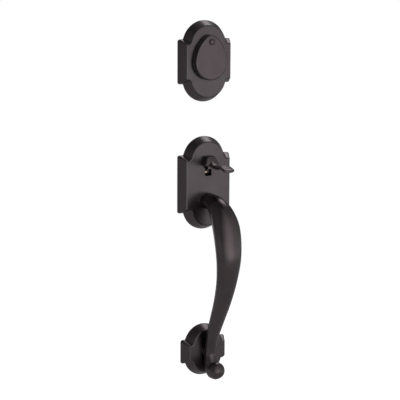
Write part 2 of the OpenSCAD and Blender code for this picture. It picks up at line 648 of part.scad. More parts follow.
module grip() color(bronze) difference() {
    union() {
        swept_bar(grip_stations, 3, 28, 1, 0, 8.6);
        rod(foot_r, -plate_t, foot_y, 0, rosette_z);
        for (x = [-1, 1]) rod(pin_nub_r, -plate_t + pin_nub_len, -plate_t - 1, x * pin_nub_x, root_z);
    }
    rod(root_screw_r + run_gap, -plate_t + over, -plate_t - root_bore, 0, root_z);
    rod(root_screw_r + run_gap, -plate_t + over, -plate_t - foot_bore, 0, rosette_z);
}
module root_washer() color(steel) difference() {
    rod(washer_r, -inner_t + washer_t, -inner_t, 0, root_z);
    rod(root_screw_r + bore_play, over, -plate_t, 0, root_z);
    for (x = [-1, 1]) rod(pin_nub_r + bore_play, over, -plate_t, x * pin_nub_x, root_z);
}
root_head = [7.2, 4.6];
hex_key_r = 2.6;
screw_start = 0.5;
module root_screw() color(steel) difference() {
    union() {
        rod(root_screw_r, -inner_t + washer_t + screw_start, -plate_t - root_bore + 1, 0, root_z);
        translate([0, -inner_t + washer_t + root_head[1], root_z]) rotate([90, 0, 0])
            cylinder(r = root_head[0], h = root_head[1], $fn = 6);
    }
    translate([0, over, root_z]) rotate([90, 0, 0])
        cylinder(r = hex_key_r, h = inner_t - washer_t - 1.4, $fn = 6);
}

// Rosette under the grip's foot
module rosette() color(bronze) difference() {
    on_door(rosette_z) cast_plate(ros_w, ros_arc_r, ros_arc_z, ros_ear);
    rod(root_screw_r + bore_play, over, -plate_t - over, 0, rosette_z);
}
module foot_washer() color(steel) difference() {
    rod(washer_r, -inner_t + washer_t, -inner_t, 0, rosette_z);
    rod(root_screw_r + bore_play, over, -plate_t, 0, rosette_z);
}
foot_head = [7, 4];
stud_r = post_r + 0.6;
stud_bore_r = post_bore_r + 0.4;
stud_tap = 20;
module foot_stud() color(steel) difference() {
    union() {
        rod(root_screw_r, -inner_t + washer_t + screw_start, -plate_t - foot_bore + 1, 0, rosette_z);
        translate([0, -inner_t + washer_t + foot_head[1], rosette_z]) rotate([90, 0, 0])
            cylinder(r = foot_head[0], h = foot_head[1], $fn = 6);
        rod(stud_r, post_back, -inner_t + washer_t + foot_head[1] - 1, 0, rosette_z);
    }
    rod(stud_bore_r, post_back + over, post_back - stud_tap, 0, rosette_z);
}

deadbolt_plate();
key_cover();
cover_rivet();
rivet_washer();
cylinder_housing();
key_plug();
key_pins();
driver_pins();
pin_springs();
chamber_cap();
plug_clip();
torque_blade();
deadbolt_backplate();
deadbolt_posts();
deadbolt_screws();
handle_plate();
thumbpiece();
pivot_bush();
pivot_pin();
pivot_bracket();
bracket_screws();
return_spring();
spindle_bearing();
bearing_screws();
spindle_hub();
hub_clip();
spindle();
handle_backplate();
handle_posts();
handle_screws();
grip();
root_screw();
root_washer();
rosette();
foot_stud();
foot_washer();
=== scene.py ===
# Entry door handleset, exterior side: dark bronze castings on steel mounting plates.
# Blender works in metres. Sizes in millimetres, as in the part's source, are multiplied by MM in each mesh.
# The street is at -Y, the door at +Y, and +Z is up.
import bpy
import bmesh
import math
from mathutils import Matrix, Vector


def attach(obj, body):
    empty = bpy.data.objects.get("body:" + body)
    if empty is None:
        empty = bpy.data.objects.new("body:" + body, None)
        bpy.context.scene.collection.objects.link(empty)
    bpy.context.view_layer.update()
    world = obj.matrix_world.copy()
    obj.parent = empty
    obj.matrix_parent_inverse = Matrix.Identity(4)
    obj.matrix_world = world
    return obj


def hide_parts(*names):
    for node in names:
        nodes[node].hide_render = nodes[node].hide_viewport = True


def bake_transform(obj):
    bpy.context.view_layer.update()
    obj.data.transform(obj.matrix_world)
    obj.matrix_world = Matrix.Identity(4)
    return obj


MM = 0.001
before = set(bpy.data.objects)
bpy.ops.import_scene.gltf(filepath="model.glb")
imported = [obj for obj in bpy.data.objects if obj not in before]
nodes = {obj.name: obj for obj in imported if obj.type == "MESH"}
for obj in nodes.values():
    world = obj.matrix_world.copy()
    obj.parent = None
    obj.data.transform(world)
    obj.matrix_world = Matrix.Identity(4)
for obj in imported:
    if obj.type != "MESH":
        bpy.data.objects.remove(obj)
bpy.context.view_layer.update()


# Sizes shared with the part's source, in millimetres

DEADBOLT_Z = 139.7
HANDLE_Z = -16.6
ROSETTE_Z = -238.0
BOLT_SPACING = 19.05
POST_BACK = 22.0
POST_BORE_R, STUD_BORE_R = 2.1, 2.5
SHEET_T = 1.5
SCREW_HEAD_R, SCREW_R = 3.0, 1.6
DEADBOLT_SCREW_X, DEADBOLT_SCREW_Z, DEADBOLT_SCREW_SEAT = 20.0, 24.0, -6.15
HANDLE_SCREW_X, HANDLE_SCREW_Z, HANDLE_SCREW_SEAT = 22.0, 30.0, -1.9
PIN_COUNT, PIN_PITCH, FIRST_PIN_Y = 5, 3.5, -4.3
DRIVER_TOP, CHAMBER_CEILING = 6.45 + 3.6, 17.0 - 1.4
PIN_SPRING_R, PIN_SPRING_WIRE, PIN_SPRING_TURNS = 0.95, 0.22, 5
RETURN_SPRING_R, RETURN_SPRING_WIRE, RETURN_SPRING_TURNS = 2.1, 0.45, 7
RETURN_SPRING_X, RETURN_SPRING_Y = 14.75, 8.0
ARM_TOP, TAB_Z = -8.2, 9.0


# Sizes of the details that this script adds, in millimetres

# Where the thumbpiece from the source ends and the finer neck goes on
HOOD_CUT_Y = -26.2
# Neck and thumb pad: Y, Z, half width and half thickness
SPOON_STATIONS = [[-21.0, 10.6, 4.9, 2.9], [-26.5, 9.2, 4.9, 2.5], [-31.0, 7.6, 4.6, 2.2],
                  [-36.0, 6.8, 4.4, 2.1], [-41.5, 7.7, 4.8, 2.0], [-46.5, 9.9, 5.5, 1.9],
                  [-50.5, 10.9, 6.7, 1.85], [-54.5, 9.9, 7.8, 1.85], [-58.5, 8.6, 8.4, 1.9],
                  [-62.5, 7.3, 8.2, 1.95]]
PAD_TIP_REACH, PAD_TIP_DROP = 4.0, 1.3
# Power that squares the rings, lowest on the pad, and where each stretch ends
PAD_POWER, NECK_POWER = 0.72, 0.88
PAD_INNER_Y, NECK_INNER_Y = -50.0, -30.0
SCREW_REACH, SCREW_TIP, SCREW_RIM = 3.5, 0.4, 0.12
SCREW_FACE_R = SCREW_HEAD_R * 0.82
RECESS_R, RECESS_DEPTH = 1.9, 1.15
RECESS_HALF, RECESS_HALF_DEEP = 0.42, 0.26
RECESS_R_DEEP = RECESS_R * 0.3
CUTTER_CLEAR = 0.3
# How far the first screw is turned and how much further the next ones are, in degrees
FIRST_SCREW_TURN, SCREW_TURN_STEP = 17, 61
THREAD_END_Y = POST_BACK - 0.7
POST_THREAD = {"start_y": POST_BACK - 14.5, "bore_r": POST_BORE_R, "depth": 0.26, "pitch": 0.8}
STUD_THREAD = {"start_y": POST_BACK - 17.0, "bore_r": STUD_BORE_R, "depth": 0.3, "pitch": 0.9}


# Node tools

FLOAT, COLOUR = "NodeSocketFloat", "NodeSocketColor"


class Tree:
    """A node tree with short calls for the nodes that the finishes are made of."""

    def __init__(self, tree):
        self.tree = tree
        self.count = 0

    def add(self, kind, **settings):
        node = self.tree.nodes.new(kind)
        node.location = (220 * (self.count % 12), -260 * (self.count // 12))
        self.count += 1
        for name, value in settings.items():
            setattr(node, name, value)
        return node

    def link(self, source, target):
        self.tree.links.new(source, target)

    def feed(self, socket, value):
        """A plain number or colour is set on the socket, and anything else is linked to it."""
        if isinstance(value, (int, float)):
            socket.default_value = value
        elif isinstance(value, tuple):
            socket.default_value = (*value, 1.0) if len(socket.default_value) == 4 else value
        else:
            self.link(value, socket)

    def math(self, operation, a, b=None, c=None, clamp=False):
        node = self.add("ShaderNodeMath", operation=operation, use_clamp=clamp)
        for socket, value in zip(node.inputs, (a, b, c)):
            if value is not None:
                self.feed(socket, value)
        return node.outputs[0]

    def map_range(self, value, low, high, to_low=0.0, to_high=1.0, smooth=True):
        node = self.add("ShaderNodeMapRange", interpolation_type="SMOOTHSTEP" if smooth else "LINEAR")
        for index, number in enumerate((value, low, high, to_low, to_high)):
            self.feed(node.inputs[index], number)
        return node.outputs[0]

    def blend(self, share, at_none, at_full):
        """A value that goes evenly from one to another as the share goes from 0 to 1."""
        return self.map_range(share, 0.0, 1.0, at_none, at_full, smooth=False)

    def mix(self, share, a, b):
        node = self.add("ShaderNodeMix", data_type="RGBA")
        for index, value in ((0, share), (6, a), (7, b)):
            self.feed(node.inputs[index], value)
        return node.outputs[2]

    def noise(self, vector, scale, detail, rough):
        node = self.add("ShaderNodeTexNoise")
        self.link(vector, node.inputs["Vector"])
        self.feed(node.inputs["Scale"], scale)
        node.inputs["Detail"].default_value = detail
        node.inputs["Roughness"].default_value = rough
        return node.outputs["Fac"]

    def where(self):
        return self.add("ShaderNodeTexCoord").outputs["Object"]

    def axes(self, vector):
        node = self.add("ShaderNodeSeparateXYZ")
        self.link(vector, node.inputs[0])
        return node.outputs

    def dot(self, vector):
        """Dot product node with one input linked; the other one is set by the caller."""
        node = self.add("ShaderNodeVectorMath", operation="DOT_PRODUCT")
        self.link(vector, node.inputs[0])
        return node


def new_group(name, inputs, outputs):
    """A shader node group with named sockets; inputs hold their usual value."""
    group = bpy.data.node_groups.new(name, "ShaderNodeTree")
    for label, value in inputs.items():
        kind = COLOUR if isinstance(value, tuple) else FLOAT
        socket = group.interface.new_socket(label, in_out="INPUT", socket_type=kind)
        socket.default_value = (*value, 1.0) if isinstance(value, tuple) else value
    for label, kind in outputs.items():
        group.interface.new_socket(label, in_out="OUTPUT", socket_type=kind)
    tree = Tree(group)
    source = tree.add("NodeGroupInput")
    target = tree.add("NodeGroupOutput")
    return group, tree, source.outputs, target.inputs


def place(tree, group, **values):
    """Puts a group in a material with its own values, and gives back its outputs."""
    node = tree.add("ShaderNodeGroup")
    node.node_tree = group
    for label, value in values.items():
        label = label.replace("_", " ")
        node.inputs[label].default_value = (*value, 1.0) if isinstance(value, tuple) else value
    return node.outputs


# Effects that the finishes share

BRONZE_FLECK = (0.2, 0.15, 0.13)
ZINC_STAIN = (0.24, 0.24, 0.24)


def edge_wear_and_highlight_group():
    """Mask of edges, broken up so that it reads as handling marks; the lighter colour it lays on edges is
    also a painted edge highlight.
    """
    group, tree, given, out = new_group(
        "edge wear", {"Radius": 0.0005, "Amount": 1.0, "Breakup": 420.0}, {"Mask": FLOAT})
    rounded = tree.add("ShaderNodeBevel", samples=6)
    tree.link(given["Radius"], rounded.inputs["Radius"])
    alike = tree.dot(rounded.outputs[0])
    tree.link(tree.add("ShaderNodeNewGeometry").outputs["Normal"], alike.inputs[1])
    edge = tree.map_range(alike.outputs["Value"], 0.985, 0.86)
    patches = tree.noise(tree.where(), given["Breakup"], detail=4.0, rough=0.6)
    worn = tree.math("MULTIPLY", edge, tree.map_range(patches, 0.38, 0.62))
    tree.link(tree.math("MULTIPLY", worn, given["Amount"], clamp=True), out["Mask"])
    return group


def lacquer_group():
    """Satin lacquer: faint orange peel, soft smudges and colour that is never quite even."""
    group, tree, given, out = new_group(
        "satin lacquer",
        {"Colour": (0.1, 0.08, 0.08), "Second Colour": (0.1, 0.08, 0.08), "Roughness": 0.34,
         "Smudges": 0.08, "Peel Scale": 800.0},
        {"Colour": COLOUR, "Roughness": FLOAT, "Height": FLOAT})
    where = tree.where()
    cloud = tree.map_range(tree.noise(where, scale=38.0, detail=4.0, rough=0.55), 0.32, 0.7)
    fleck = tree.map_range(tree.noise(where, scale=2600.0, detail=2.0, rough=0.5), 0.6, 0.78, 0.0, 0.35)
    colour = tree.mix(cloud, given["Colour"], given["Second Colour"])
    tree.link(tree.mix(fleck, colour, BRONZE_FLECK), out["Colour"])
    smear = tree.math("SUBTRACT", tree.noise(where, scale=95.0, detail=5.0, rough=0.65), 0.5)
    tree.link(tree.math("MULTIPLY_ADD", smear, given["Smudges"], given["Roughness"]), out["Roughness"])
    peel = tree.noise(where, given["Peel Scale"], detail=2.0, rough=0.4)
    wave = tree.noise(where, scale=140.0, detail=2.0, rough=0.4)
    wave_share = 3.0
    tree.link(tree.math("MULTIPLY_ADD", wave, wave_share, peel), out["Height"])
    return group


def cast_skin_group():
    """Raw die casting: fine sand-like skin with grey and dark blotches of overspray."""
    group, tree, given, out = new_group(
        "cast skin", {"Metal": (0.3, 0.29, 0.28), "Overspray": (0.06, 0.05, 0.05), "Cover": 0.5},
        {"Colour": COLOUR, "Height": FLOAT})
    where = tree.where()
    cloud = tree.noise(where, scale=55.0, detail=5.0, rough=0.6)
    share = tree.map_range(tree.math("ADD", cloud, given["Cover"]), 0.8, 1.2)
    tree.link(tree.mix(share, given["Metal"], given["Overspray"]), out["Colour"])
    grain = tree.noise(where, scale=1500.0, detail=3.0, rough=0.6)
    cloud_share = 1.5
    tree.link(tree.math("MULTIPLY_ADD", cloud, cloud_share, grain), out["Height"])
    return group


def turned_group():
    """Fine tool marks round an axis along Y."""
    group, tree, given, out = new_group(
        "turned rings", {"Centre X": 0.0, "Centre Z": 0.0, "Pitch": 0.00018}, {"Height": FLOAT})
    x, y, z = tree.axes(tree.where())
    dx = tree.math("SUBTRACT", x, given["Centre X"])
    dz = tree.math("SUBTRACT", z, given["Centre Z"])
    square = tree.math("ADD", tree.math("MULTIPLY", dx, dx), tree.math("MULTIPLY", dz, dz))
    along = tree.math("ADD", tree.math("SQRT", square), y)
    turns = tree.math("DIVIDE", along, given["Pitch"])
    rings = tree.math("SINE", tree.math("MULTIPLY", turns, 2 * math.pi))
    grain = tree.noise(tree.where(), scale=2200.0, detail=2.0, rough=0.5)
    ring_share = 0.5
    tree.link(tree.math("MULTIPLY_ADD", rings, ring_share, grain), out["Height"])
    return group


def plated_group():
    """Zinc plate: cloudy grey with a faint warm and cool drift, dark stains and rolling grain."""
    group, tree, given, out = new_group(
        "zinc plate",
        {"Cool": (0.5, 0.52, 0.55), "Warm": (0.56, 0.54, 0.5), "Roughness": 0.34, "Stretch": 14.0},
        {"Colour": COLOUR, "Roughness": FLOAT, "Height": FLOAT})
    where = tree.where()
    cloud = tree.map_range(tree.noise(where, scale=42.0, detail=4.0, rough=0.6), 0.35, 0.65)
    stain = tree.map_range(tree.noise(where, scale=160.0, detail=5.0, rough=0.7), 0.58, 0.8, 0.0, 0.45)
    drift = tree.mix(cloud, given["Cool"], given["Warm"])
    tree.link(tree.mix(stain, drift, ZINC_STAIN), out["Colour"])
    stretch = tree.add("ShaderNodeCombineXYZ")
    stretch.inputs[0].default_value = 1.0
    stretch.inputs[1].default_value = 1.0
    tree.link(given["Stretch"], stretch.inputs[2])
    stretched = tree.add("ShaderNodeVectorMath", operation="DIVIDE")
    tree.link(where, stretched.inputs[0])
    tree.link(stretch.outputs[0], stretched.inputs[1])
    grain = tree.noise(stretched.outputs[0], scale=2400.0, detail=3.0, rough=0.6)
    grain_share = 0.16
    tree.link(tree.math("MULTIPLY_ADD", grain, grain_share, given["Roughness"]), out["Roughness"])
    tree.link(grain, out["Height"])
    return group


# The edge mask lightens edges: worn metal, and a painted edge highlight too.
EDGE_WEAR_AND_HIGHLIGHT = edge_wear_and_highlight_group()
LACQUER = lacquer_group()
CAST_SKIN = cast_skin_group()
TURNED = turned_group()
PLATED = plated_group()


# Finishes: colours as Blender takes them, radii and bump depths in metres

BRONZE = (0.125, 0.102, 0.107)
BRONZE_PLATE = (0.118, 0.103, 0.11)
# Lighter edge colours: worn metal, and also a painted edge highlight.
BRONZE_DEEP = (0.108, 0.089, 0.094)
BRONZE_WORN_AND_LIT = (0.25, 0.17, 0.12)
ZINC_WORN_AND_LIT = (0.68, 0.68, 0.68)
PLATE_EDGE_R, CASTING_EDGE_R = 0.0012, 0.0006
MACHINED_EDGE_R, ZINC_EDGE_R = 0.0002, 0.00025
# Radius and amount of the edge mask, which paints worn metal and an edge highlight.
ZINC_WEAR_AND_HIGHLIGHT_R = 0.0003
METAL_WEAR_AND_HIGHLIGHT = 0.5
FINE_BUMP, GRAIN_BUMP = 0.000004, 0.000005
CAST_SKIN_ROUGHNESS, CAST_SKIN_BUMP_SHARE = 0.62, 4.0
TARNISH_ROUGHNESS = 0.14


def new_material(name, view_colour):
    material = bpy.data.materials.new(name)
    material.use_nodes = True
    material.node_tree.nodes.clear()
    material.diffuse_color = (*view_colour, 1.0)
    tree = Tree(material.node_tree)
    output = tree.add("ShaderNodeOutputMaterial")
    shader = tree.add("ShaderNodeBsdfPrincipled")
    tree.link(shader.outputs[0], output.inputs[0])
    return material, tree, shader


def relief(tree, shader, height, bump_depth, edge_radius):
    """Bump on top of edges that the light sees as slightly rounded."""
    rounded = tree.add("ShaderNodeBevel", samples=6)
    rounded.inputs["Radius"].default_value = edge_radius
    node = tree.add("ShaderNodeBump")
    node.inputs["Strength"].default_value = 1.0
    node.inputs["Distance"].default_value = bump_depth
    tree.link(height, node.inputs["Height"])
    tree.link(rounded.outputs[0], node.inputs["Normal"])
    tree.link(node.outputs[0], shader.inputs["Normal"])


def bronze(name, lacquer_colour, roughness, wear_and_highlight_amount, hollow_back=False):
    """Dark bronze lacquer over a casting; a plate's hollow back shows the raw casting."""
    material, tree, shader = new_material(name, lacquer_colour)
    lacquer = place(tree, LACQUER, Colour=lacquer_colour, Second_Colour=BRONZE_DEEP, Roughness=roughness)
    wear_and_highlight = place(tree, EDGE_WEAR_AND_HIGHLIGHT, Amount=wear_and_highlight_amount)
    # Edges turn lighter: worn bronze, and a painted edge highlight.
    colour = tree.mix(wear_and_highlight["Mask"], lacquer["Colour"], BRONZE_WORN_AND_LIT)
    gloss, height = lacquer["Roughness"], lacquer["Height"]
    if hollow_back:
        skin = place(tree, CAST_SKIN)
        to_door = tree.axes(tree.add("ShaderNodeNewGeometry").outputs["True Normal"])[1]
        inside = tree.map_range(to_door, 0.02, 0.08)
        colour = tree.mix(inside, colour, skin["Colour"])
        gloss = tree.blend(inside, lacquer["Roughness"], CAST_SKIN_ROUGHNESS)
        lift = tree.math("MULTIPLY_ADD", skin["Height"], CAST_SKIN_BUMP_SHARE, lacquer["Height"])
        height = tree.blend(inside, lacquer["Height"], lift)
    tree.link(colour, shader.inputs["Base Color"])
    tree.link(gloss, shader.inputs["Roughness"])
    shader.inputs["Metallic"].default_value = 1.0
    relief(tree, shader, height, FINE_BUMP, PLATE_EDGE_R if hollow_back else CASTING_EDGE_R)
    return material


def machined(name, colour, dull, roughness, centre_z=0.0):
    """Turned or milled metal with tool marks round its axis."""
    material, tree, shader = new_material(name, colour)
    marks = place(tree, TURNED, Centre_X=0.0, Centre_Z=centre_z)
    wear_and_highlight = place(tree, EDGE_WEAR_AND_HIGHLIGHT, Amount=METAL_WEAR_AND_HIGHLIGHT)
    cloud = tree.map_range(tree.noise(tree.where(), scale=210.0, detail=5.0, rough=0.65), 0.36, 0.68)
    tarnished = tree.mix(cloud, colour, dull)
    bright = tuple(min(1.0, c * 1.2) for c in colour)
    # Edges turn lighter: worn metal, and a painted edge highlight.
    tree.link(tree.mix(wear_and_highlight["Mask"], tarnished, bright), shader.inputs["Base Color"])
    tree.link(tree.blend(cloud, roughness, roughness + TARNISH_ROUGHNESS), shader.inputs["Roughness"])
    shader.inputs["Metallic"].default_value = 1.0
    relief(tree, shader, marks["Height"], FINE_BUMP, MACHINED_EDGE_R)
    return material


def zinc(name, cool, warm, roughness, stretch=1.0):
    """Zinc plated steel; the stretch draws the grain out along Z, the way the sheet was rolled."""
    material, tree, shader = new_material(name, cool)
    plate = place(tree, PLATED, Cool=cool, Warm=warm, Roughness=roughness, Stretch=stretch)
    wear_and_highlight = place(tree, EDGE_WEAR_AND_HIGHLIGHT, Amount=METAL_WEAR_AND_HIGHLIGHT, Radius=ZINC_WEAR_AND_HIGHLIGHT_R)
    # Edges turn lighter: worn zinc, and a painted edge highlight.
    tree.link(tree.mix(wear_and_highlight["Mask"], plate["Colour"], ZINC_WORN_AND_LIT), shader.inputs["Base Color"])
    tree.link(plate["Roughness"], shader.inputs["Roughness"])
    shader.inputs["Metallic"].default_value = 1.0
    relief(tree, shader, plate["Height"], GRAIN_BUMP, ZINC_EDGE_R)
    return material


FINISHES = {
    "casting": bronze("dark bronze on castings", BRONZE, roughness=0.28, wear_and_highlight_amount=0.3),
    "plate": bronze("dark bronze on hollow plates", BRONZE_PLATE, roughness=0.3, wear_and_highlight_amount=0.3,
                    hollow_back=True),
    "thumb": bronze("dark bronze on thumbpiece", BRONZE, roughness=0.3, wear_and_highlight_amount=0.45),
    "cylinder brass": machined("machined cylinder brass", (0.72, 0.53, 0.25), (0.5, 0.35, 0.15),
                               roughness=0.26, centre_z=DEADBOLT_Z * MM),
    "bearing brass": machined("machined bearing brass", (0.86, 0.68, 0.48), (0.66, 0.5, 0.34),
                              roughness=0.36),
    "turned steel": machined("turned zinc steel", (0.55, 0.56, 0.58), (0.4, 0.41, 0.43), roughness=0.3),
    "sheet": zinc("zinc plated sheet", (0.5, 0.52, 0.55), (0.56, 0.55, 0.51), roughness=0.34, stretch=14.0),
    "bar": zinc("zinc plated bar", (0.47, 0.49, 0.52), (0.53, 0.52, 0.49), roughness=0.32),
    "screw": zinc("zinc plated screws", (0.52, 0.54, 0.57), (0.58, 0.56, 0.5), roughness=0.24),
    "spring": machined("drawn spring wire", (0.42, 0.43, 0.45), (0.3, 0.31, 0.33), roughness=0.22),
}
NODE_FINISH = {
    "plate": ["deadbolt_plate", "handle_plate", "rosette"],
    "casting": ["key_cover", "cover_rivet", "grip"],
    "thumb": ["thumbpiece"],
    "cylinder brass": ["cylinder_housing", "key_plug", "key_pins", "chamber_cap"],
    "bearing brass": ["spindle_bearing", "pivot_bush"],
    "turned steel": ["deadbolt_posts", "handle_posts", "foot_stud", "driver_pins", "pivot_pin"],
    "sheet": ["deadbolt_backplate", "handle_backplate", "pivot_bracket", "rivet_washer", "root_washer",
              "foot_washer"],
    "bar": ["torque_blade", "spindle", "spindle_hub"],
    "screw": ["deadbolt_screws", "bracket_screws", "bearing_screws", "handle_screws", "root_screw",
              "plug_clip", "hub_clip"],
    "spring": ["pin_springs", "return_spring"],
}


# The carried-over solids: a finish, and smooth shading that is split at real edges

SPLIT_ANGLE = math.radians(31.0)
WELD_DISTANCE, MERGE_DISTANCE = 0.000002, 0.0000001


def shade_node(node):
    mesh = node.data
    for name in ("custom_normal", "sharp_face", "sharp_edge"):
        if name in mesh.attributes:
            mesh.attributes.remove(mesh.attributes[name])
    mesh.polygons.foreach_set("use_smooth", [True] * len(mesh.polygons))
    weld = node.modifiers.new("weld corners", "WELD")
    weld.merge_threshold = WELD_DISTANCE
    split = node.modifiers.new("split at edges", "EDGE_SPLIT")
    split.split_angle = SPLIT_ANGLE
    weighted = node.modifiers.new("flat faces stay flat", "WEIGHTED_NORMAL")
    weighted.keep_sharp = True


for finish, names in NODE_FINISH.items():
    for name in names:
        nodes[name].data.materials.clear()
        nodes[name].data.materials.append(FINISHES[finish])
        shade_node(nodes[name])


# Mesh tools for the small details

def linked_object(name, mesh):
    piece = bpy.data.objects.new(name, mesh)
    bpy.context.scene.collection.objects.link(piece)
    return piece


def object_from(work, name):
    """Object made of a bmesh, which is used up."""
    mesh = bpy.data.meshes.new(name)
    work.to_mesh(mesh)
    work.free()
    return linked_object(name, mesh)


def new_piece(name, body, finish, slot, points, faces, smooth_angle):
    """A finished piece, smooth up to an angle in degrees; one given no body is left unattached."""
    mesh = bpy.data.meshes.new(name)
    mesh.from_pydata([tuple(p) for p in points], [], faces)
    mesh.validate()
    work = bmesh.new()
    work.from_mesh(mesh)
    bmesh.ops.remove_doubles(work, verts=work.verts, dist=MERGE_DISTANCE)
    bmesh.ops.recalc_face_normals(work, faces=work.faces)
    for edge in work.edges:
        edge.smooth = edge.is_manifold and edge.calc_face_angle(0.0) < math.radians(smooth_angle)
    for face in work.faces:
        face.smooth = True
    work.to_mesh(mesh)
    work.free()
    mesh.materials.append(FINISHES[finish])
    piece = linked_object(name, mesh)
    if body:
        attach(piece, body)
    return piece


def join_solids(body, tool, operation, use_self=False):
    """Points and faces of the first piece with the second one added or cut away; both are used up."""
    join = body.modifiers.new("join", "BOOLEAN")
    join.operation = operation
    join.solver = "EXACT"
    join.use_self = use_self
    join.object = tool
    bpy.context.view_layer.update()
    mesh = bpy.data.meshes.new_from_object(body.evaluated_get(bpy.context.evaluated_depsgraph_get()))
    bpy.data.objects.remove(tool)
    bpy.data.objects.remove(body)
    return [v.co.copy() for v in mesh.vertices], [tuple(p.vertices) for p in mesh.polygons]


def rings_to_mesh(rings, closed_ends=True):
    """Points and faces through rings of equally many points."""
    count = len(rings[0])
    points = [p for ring in rings for p in ring]
    faces = []
    for k in range(len(rings) - 1):
        near, far = k * count, (k + 1) * count
        for i in range(count):
            after = (i + 1) % count
            faces.append((near + i, near + after, far + after, far + i))
    if closed_ends:
        last = (len(rings) - 1) * count
        faces += [tuple(range(count))[::-1], tuple(range(last, last + count))]
    return points, faces


def round_y(x, y, z, radius, turn):
    """Point in metres at a radius round an axis along Y, from millimetres."""
    return Vector((x + radius * math.cos(turn), y, z + radius * math.sin(turn))) * MM


def coil_rings(radius, wire, length, turns, foot, per_turn, sides):
    """A coil spring that stands along Z on its foot, as the part's source makes it."""
    rings = []
    count = turns * per_turn
    for i in range(count + 1):
        a = 2 * math.pi * i / per_turn
        height = wire + (length - 2 * wire) * i / count
        ring = []
        for k in range(sides):
            b = 2 * math.pi * k / sides
            out = radius + wire * math.cos(b)
            ring.append(Vector((foot[0] + out * math.cos(a), foot[1] + out * math.sin(a),
                                foot[2] + height + wire * math.sin(b))) * MM)
        rings.append(ring)
    return rings


def smooth_stations(stations, steps):
    """Stations along a smooth curve through the given ones."""
    rows = [stations[0]] + stations + [stations[-1]]
    out = []
    for p0, p1, p2, p3 in zip(rows, rows[1:], rows[2:], rows[3:]):
        for k in range(steps):
            t = k / steps
            out.append([0.5 * (2 * b + (c - a) * t + (2 * a - 5 * b + 4 * c - d) * t * t
                               + (3 * b - a - 3 * c + d) * t ** 3) for a, b, c, d in zip(p0, p1, p2, p3)])
    return out + [stations[-1]]


# Thumbpiece

def pad_tip(pad_y, pad_z, pad_w, pad_t, steps=9):
    """Stations of the pad's rounded outer end, which drops a little."""
    rows = []
    for k in range(1, steps + 1):
        turn = math.pi / 2 * k / (steps + 0.3)
        narrow, thin = math.cos(turn) ** 0.8, 0.25 + 0.75 * math.cos(turn) ** 0.5
        rows.append([pad_y - PAD_TIP_REACH * math.sin(turn), pad_z - PAD_TIP_DROP * math.sin(turn),
                     pad_w * narrow, pad_t * thin])
    return rows


def spoon_rings(sides=36):
    """Neck and thumb pad in squarish rings that get rounder towards the hood."""
    rows = smooth_stations(SPOON_STATIONS, 5)
    rings = []
    for y, z, half, thick in rows + pad_tip(*rows[-1]):
        inward = min(1.0, max(0.0, (y - PAD_INNER_Y) / (NECK_INNER_Y - PAD_INNER_Y)))
        power = PAD_POWER + (NECK_POWER - PAD_POWER) * inward
        ring = []
        for k in range(sides):
            c, s = math.cos(2 * math.pi * k / sides), math.sin(2 * math.pi * k / sides)
            ring.append(Vector((half * math.copysign(abs(c) ** power, c), y,
                                z + thick * math.copysign(abs(s) ** power, s))) * MM)
        rings.append(ring)
    return rings


def hood_and_arm():
    """The thumbpiece from the source, cut off and closed where the finer neck starts."""
    hood = bmesh.new()
    hood.from_mesh(nodes["thumbpiece"].data)
    hood.transform(nodes["thumbpiece"].matrix_world)
    bmesh.ops.remove_doubles(hood, verts=hood.verts, dist=WELD_DISTANCE)
    everything = hood.verts[:] + hood.edges[:] + hood.faces[:]
    cut = bmesh.ops.bisect_plane(hood, geom=everything, dist=MERGE_DISTANCE, clear_outer=True,
                                 plane_co=(0, HOOD_CUT_Y * MM, 0), plane_no=(0, -1, 0))
    rim = [e for e in cut["geom_cut"] if isinstance(e, bmesh.types.BMEdge)]
    bmesh.ops.contextual_create(hood, geom=rim)
    return object_from(hood, "hood_and_arm")


def thumb_spoon():
    """Thumbpiece with its hood and arm as in the source, and a finer neck and pad."""
    points, faces = rings_to_mesh(spoon_rings())
    spoon_mesh = bpy.data.meshes.new("spoon")
    spoon_mesh.from_pydata([tuple(p) for p in points], [], faces)
    joined = join_solids(hood_and_arm(), linked_object("spoon", spoon_mesh), "UNION")
    piece = new_piece("thumb_lever", "thumb", "thumb", "thumb_bronze", *joined, smooth_angle=31.0)
    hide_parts("thumbpiece")


# Springs

def return_spring():
    """Spring between the arm's seat and the tab, as it stands at rest."""
    foot = (RETURN_SPRING_X, RETURN_SPRING_Y, ARM_TOP)
    rings = coil_rings(RETURN_SPRING_R, RETURN_SPRING_WIRE, TAB_Z - ARM_TOP, RETURN_SPRING_TURNS, foot,
                       per_turn=32, sides=14)
    points, faces = rings_to_mesh(rings)
    piece = new_piece("thumb_return_spring", None, "spring", "spring_steel", points, faces, smooth_angle=60.0)
    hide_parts("return_spring")
    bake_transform(piece)


def pin_springs():
    """One spring above each driver pin of the lock cylinder, all in one piece."""
    points, faces = [], []
    for i in range(PIN_COUNT):
        foot = (0.0, FIRST_PIN_Y + PIN_PITCH * i, DEADBOLT_Z + DRIVER_TOP)
        rings = coil_rings(PIN_SPRING_R, PIN_SPRING_WIRE, CHAMBER_CEILING - DRIVER_TOP, PIN_SPRING_TURNS,
                           foot, per_turn=20, sides=8)
        more, quads = rings_to_mesh(rings)
        faces += [tuple(v + len(points) for v in quad) for quad in quads]
        points += more
    piece = new_piece("pin_coil_springs", "trim", "spring", "spring_steel", points, faces, smooth_angle=60.0)
    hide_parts("pin_springs")


# Screws and threads

